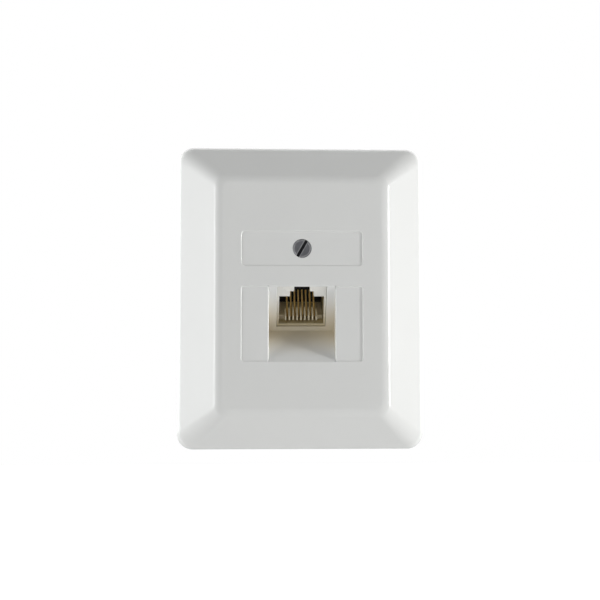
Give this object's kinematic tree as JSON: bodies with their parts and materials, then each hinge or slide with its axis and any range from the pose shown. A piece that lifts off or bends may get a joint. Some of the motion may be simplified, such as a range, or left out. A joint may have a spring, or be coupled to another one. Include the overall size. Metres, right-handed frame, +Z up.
{
  "type": "ethernet wall socket",
  "caption": "Surface-mount wall box with a hooded, downward-looking network jack and a bare label field with the cover screw.",
  "frame": {"origin": "centre of the back, on the wall", "axes": "+Z up, +X to the viewer's right, the front faces -Y"},
  "size_m": [0.065, 0.022, 0.08],
  "materials": {
    "cover_plastic": "smooth satin gloss, pure white",
    "dark_steel": "darkened, turned face",
    "nylon": "natural",
    "base_plastic": "matt moulded",
    "brass_insert": "turned",
    "jack_plastic": "smooth moulded white",
    "cap_plastic": "black moulded",
    "comb_plastic": "moulded ivory",
    "board_laminate": "solder resist",
    "terminal_plastic": "moulded",
    "zinc_steel": "zinc plated",
    "gold_wire": "gold plated, bright",
    "tinned_contact": "tinned"
  },
  "bodies": {
    "root": {"cover": "cover_plastic", "cover_screw": "dark_steel", "screw_retainer": "nylon", "base_plate": "base_plastic", "threaded_insert": "brass_insert", "jack_housing": "jack_plastic", "jack_rear_cap": "cap_plastic", "contact_comb": "comb_plastic", "circuit_board": "board_laminate", "terminal_block_left": "terminal_plastic", "terminal_block_right": "terminal_plastic", "board_screws": "zinc_steel", "cable_clamp": "base_plastic", "clamp_screws": "zinc_steel", "contact_wire_1": "gold_wire", "terminal_contact_1": "tinned_contact", "contact_wire_2": "gold_wire", "terminal_contact_2": "tinned_contact", "contact_wire_3": "gold_wire", "terminal_contact_3": "tinned_contact", "contact_wire_4": "gold_wire", "terminal_contact_4": "tinned_contact", "contact_wire_5": "gold_wire", "terminal_contact_5": "tinned_contact", "contact_wire_6": "gold_wire", "terminal_contact_6": "tinned_contact", "contact_wire_7": "gold_wire", "terminal_contact_7": "tinned_contact", "contact_wire_8": "gold_wire", "terminal_contact_8": "tinned_contact"}
  },
  "joints": []
}
